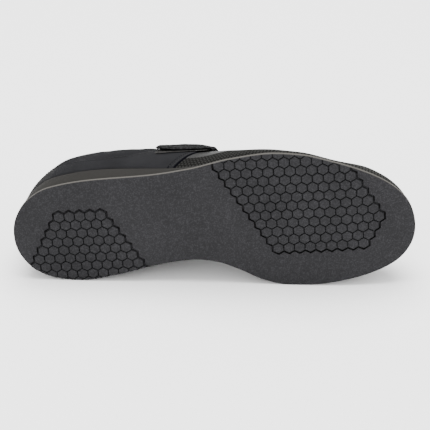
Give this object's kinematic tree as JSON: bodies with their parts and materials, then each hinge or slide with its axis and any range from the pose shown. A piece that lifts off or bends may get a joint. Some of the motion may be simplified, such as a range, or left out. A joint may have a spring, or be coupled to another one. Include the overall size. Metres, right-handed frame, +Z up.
{
  "type": "weightlifting shoe",
  "caption": "Dark grey weightlifting shoe for the right foot, lying on its inner side, with a raised heel, honeycomb tread, instep strap and laces.",
  "frame": {"origin": "the middle of the box's bottom, on the floor that the shoe lies on", "axes": "+X towards the toe, +Y from the sole towards the collar, +Z up from the floor, towards the foot's outer side. The tread faces -Y, leaning 3 degrees down."},
  "size_m": [0.3, 0.1224, 0.1062],
  "materials": {
    "outsole_rubber": "matte",
    "midsole_foam": "matte",
    "upper_knit": "matte",
    "insole_cloth": "matte",
    "tongue_cloth": "matte",
    "eyestay_film": "satin",
    "strap_webbing": "matte",
    "lace_cord": "matte"
  },
  "bodies": {
    "root": {"outsole": "outsole_rubber", "midsole": "midsole_foam", "upper": "upper_knit", "insole": "insole_cloth", "tongue": "tongue_cloth", "eyestay": "eyestay_film", "strap": "strap_webbing", "laces": "lace_cord"}
  },
  "joints": []
}
